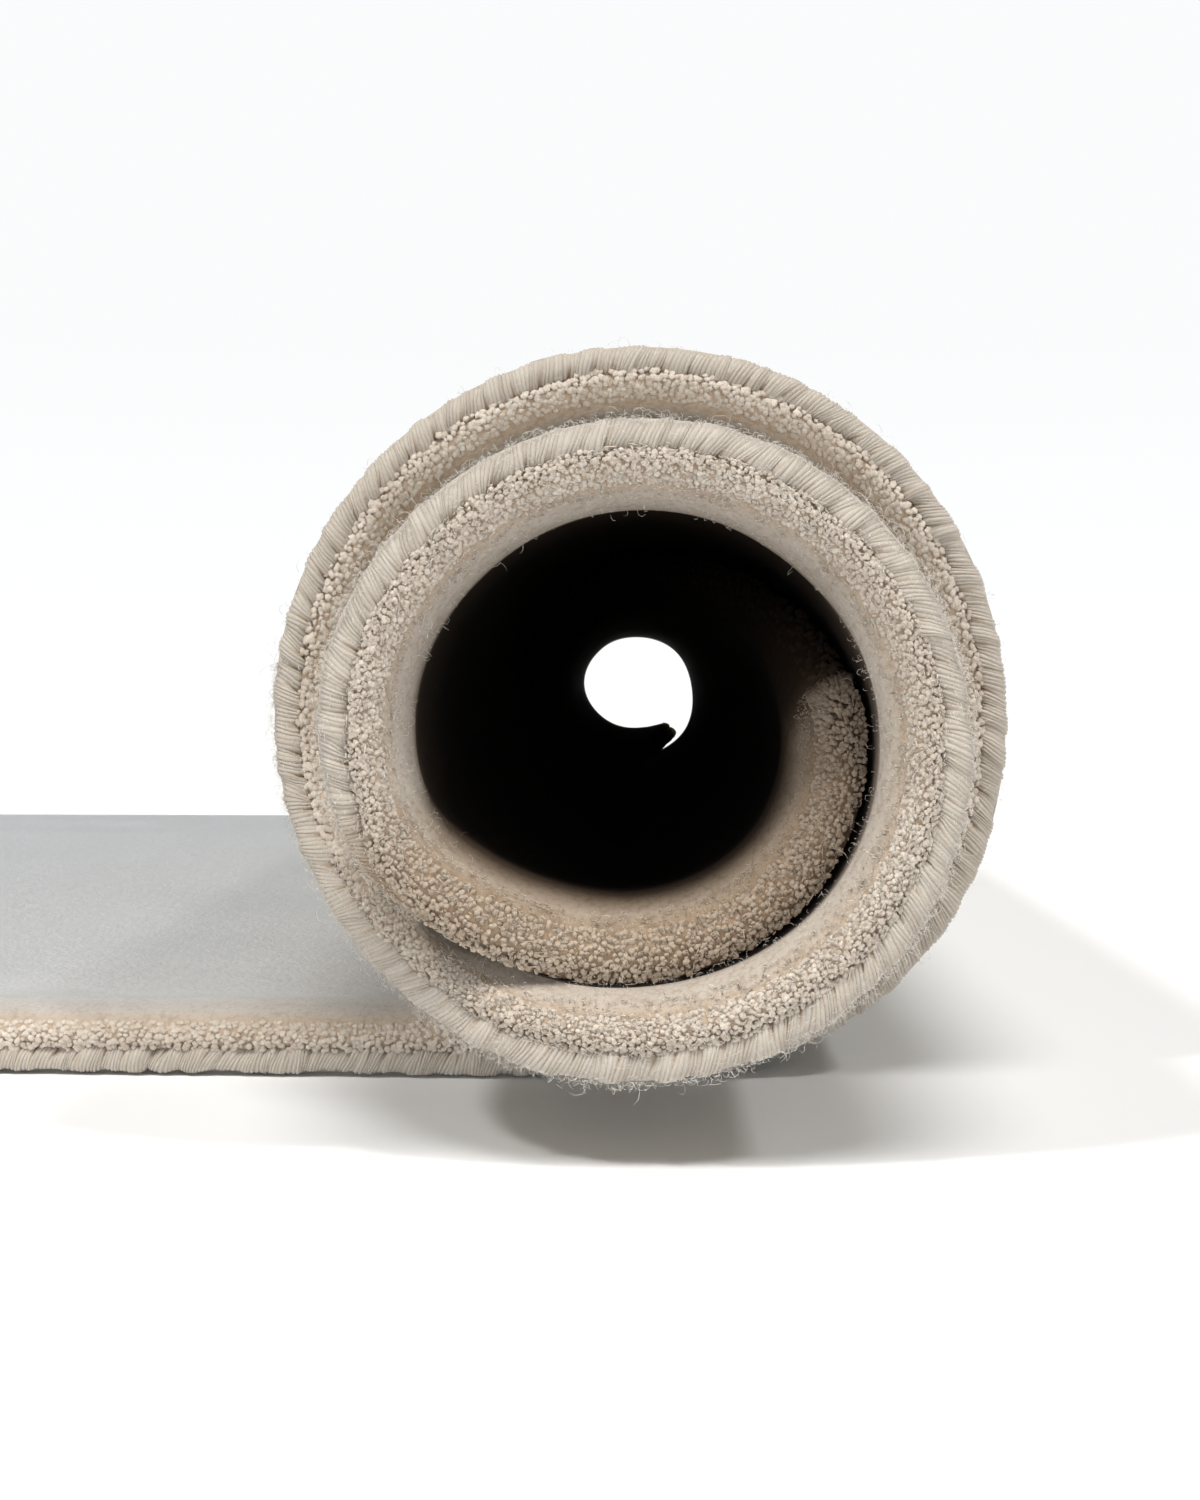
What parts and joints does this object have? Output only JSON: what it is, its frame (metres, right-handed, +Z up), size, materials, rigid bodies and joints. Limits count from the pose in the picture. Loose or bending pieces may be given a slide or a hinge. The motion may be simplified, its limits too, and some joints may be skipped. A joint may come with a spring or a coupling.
{
  "type": "rolled up carpet",
  "caption": "Tufted wool rug with an overcast edge, rolled pile inward around an open core, its outer end lying flat on the floor.",
  "frame": {"origin": "on the floor, under the middle of the whole rug's box", "axes": "+Z up, +Y along the roll's axis towards its far end, -X the way the flat end runs off"},
  "size_m": [0.7002, 0.814, 0.1726],
  "materials": {
    "pile": "undyed beige cut wool pile, matt",
    "serging": "paler overcast wool yarn, matt"
  },
  "bodies": {
    "root": {"rug": "pile", "edge_serging": "serging"}
  },
  "joints": []
}
